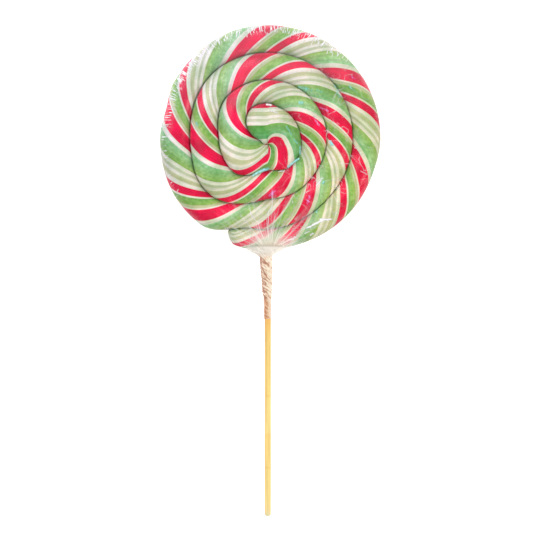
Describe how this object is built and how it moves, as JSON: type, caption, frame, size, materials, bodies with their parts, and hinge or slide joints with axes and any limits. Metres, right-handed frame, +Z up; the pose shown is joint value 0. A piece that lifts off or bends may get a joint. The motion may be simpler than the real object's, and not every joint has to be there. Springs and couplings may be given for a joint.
{
  "type": "swirl lollipop",
  "caption": "Flat round lollipop: a striped twisted rope of hard sugar coiled into a disc on a thin wooden stick, in clear film gathered and twisted round the stick.",
  "frame": {"origin": "middle of the underside, the lollipop lying on its back with its face up", "axes": "+Z up out of the disc's face, +Y along the stick from its free end towards the disc, +X to the right seen from above"},
  "size_m": [0.1018, 0.226, 0.0124],
  "materials": {
    "sugar": "glossy pulled sugar, striped crimson, green and cream",
    "birch": "smooth pale dowel",
    "film": "clear crinkled film"
  },
  "bodies": {
    "root": {"candy": "sugar", "stick": "birch", "wrapper": "film"}
  },
  "joints": []
}
